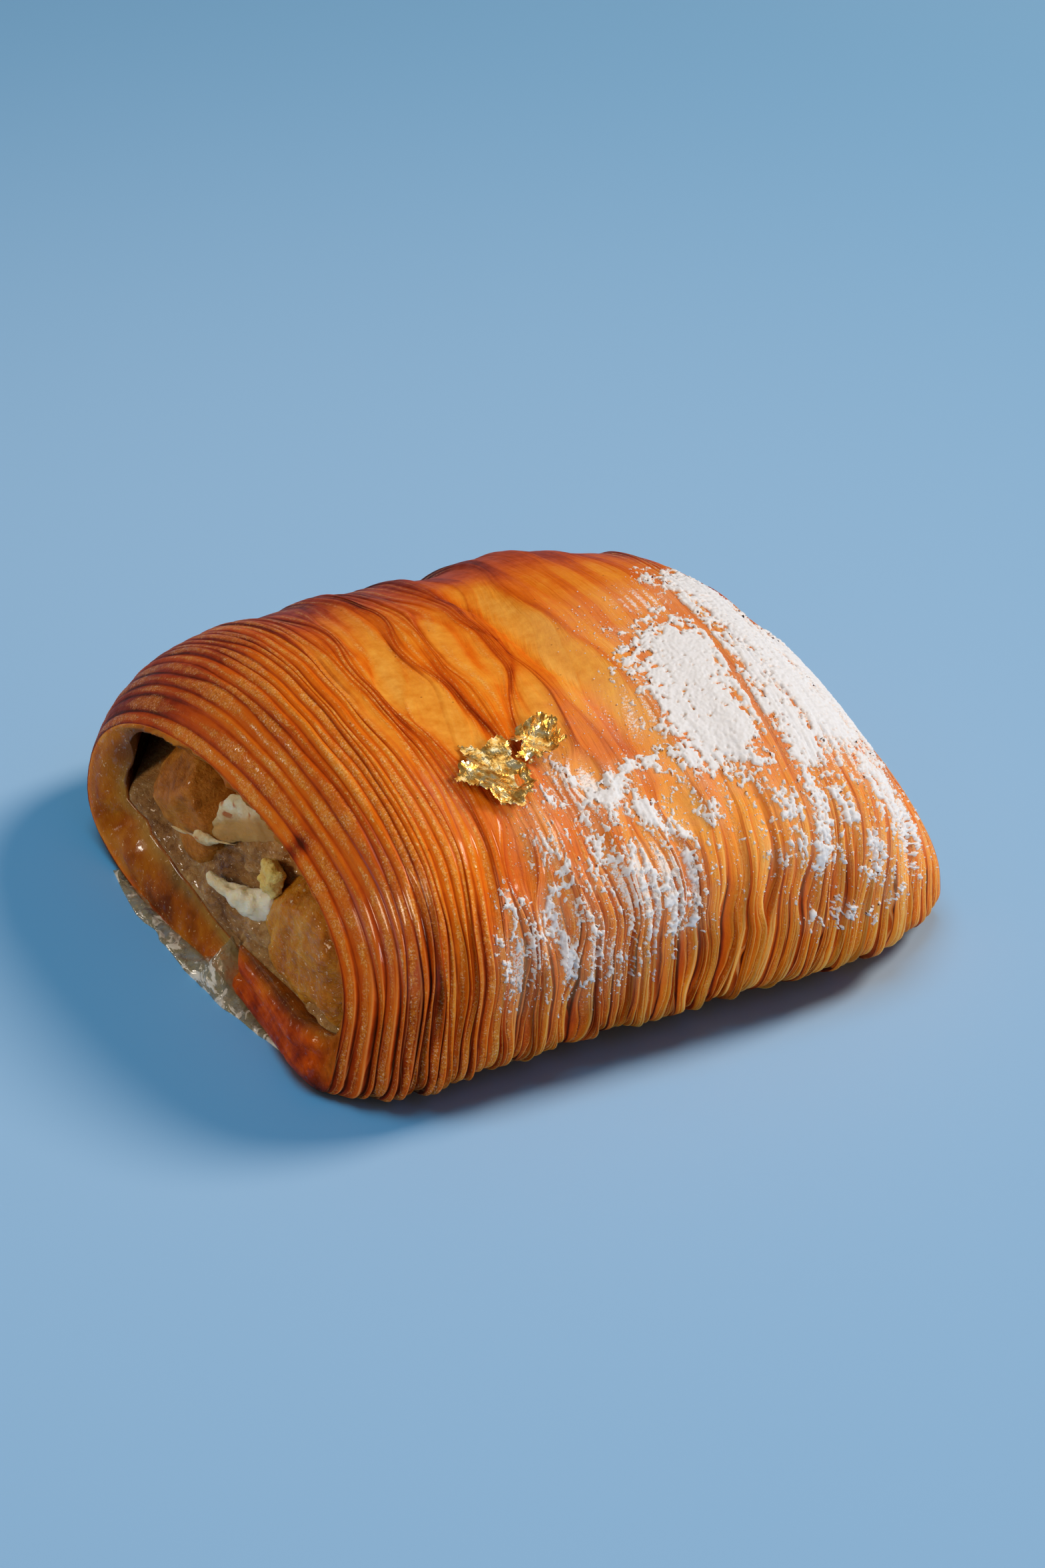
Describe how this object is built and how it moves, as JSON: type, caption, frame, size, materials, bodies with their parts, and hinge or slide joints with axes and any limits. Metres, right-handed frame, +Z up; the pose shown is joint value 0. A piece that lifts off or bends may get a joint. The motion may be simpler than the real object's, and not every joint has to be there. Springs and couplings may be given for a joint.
{
  "type": "filled laminated pastry",
  "caption": "Rolled laminated pastry with a ridged, pleated crust, open ends showing fruit and cream filling, and scraps of gold leaf on top.",
  "frame": {"origin": "on the resting surface, below the middle of the pastry's box", "axes": "+X along the roll from the mouth that the picture shows to the other one, +Y towards the back, +Z up"},
  "size_m": [0.1157, 0.1091, 0.0456],
  "materials": {
    "crust": "egg-washed baked crust, satin with glossy patches",
    "fruit_paste": "wet stewed paste",
    "roast_fruit": "caramelised, wet",
    "stewed_fruit": "translucent, wet",
    "cream": "soft satin",
    "gold_leaf": "crumpled bright leaf",
    "icing_sugar": "fine matt powder",
    "juice": "clear thin syrup"
  },
  "bodies": {
    "root": {"pastry": "crust", "filling": "fruit_paste", "roast_fruit_left": "roast_fruit", "stewed_fruit_left": "stewed_fruit", "fruit_bit_left": "stewed_fruit", "cream_dollop_left": "cream", "cream_shred_upper_left": "cream", "cream_shred_lower_left": "cream", "roast_fruit_right": "roast_fruit", "stewed_fruit_right": "stewed_fruit", "gold_leaf_large": "gold_leaf", "gold_leaf_small": "gold_leaf", "gold_leaf_shred": "gold_leaf"}
  },
  "joints": []
}
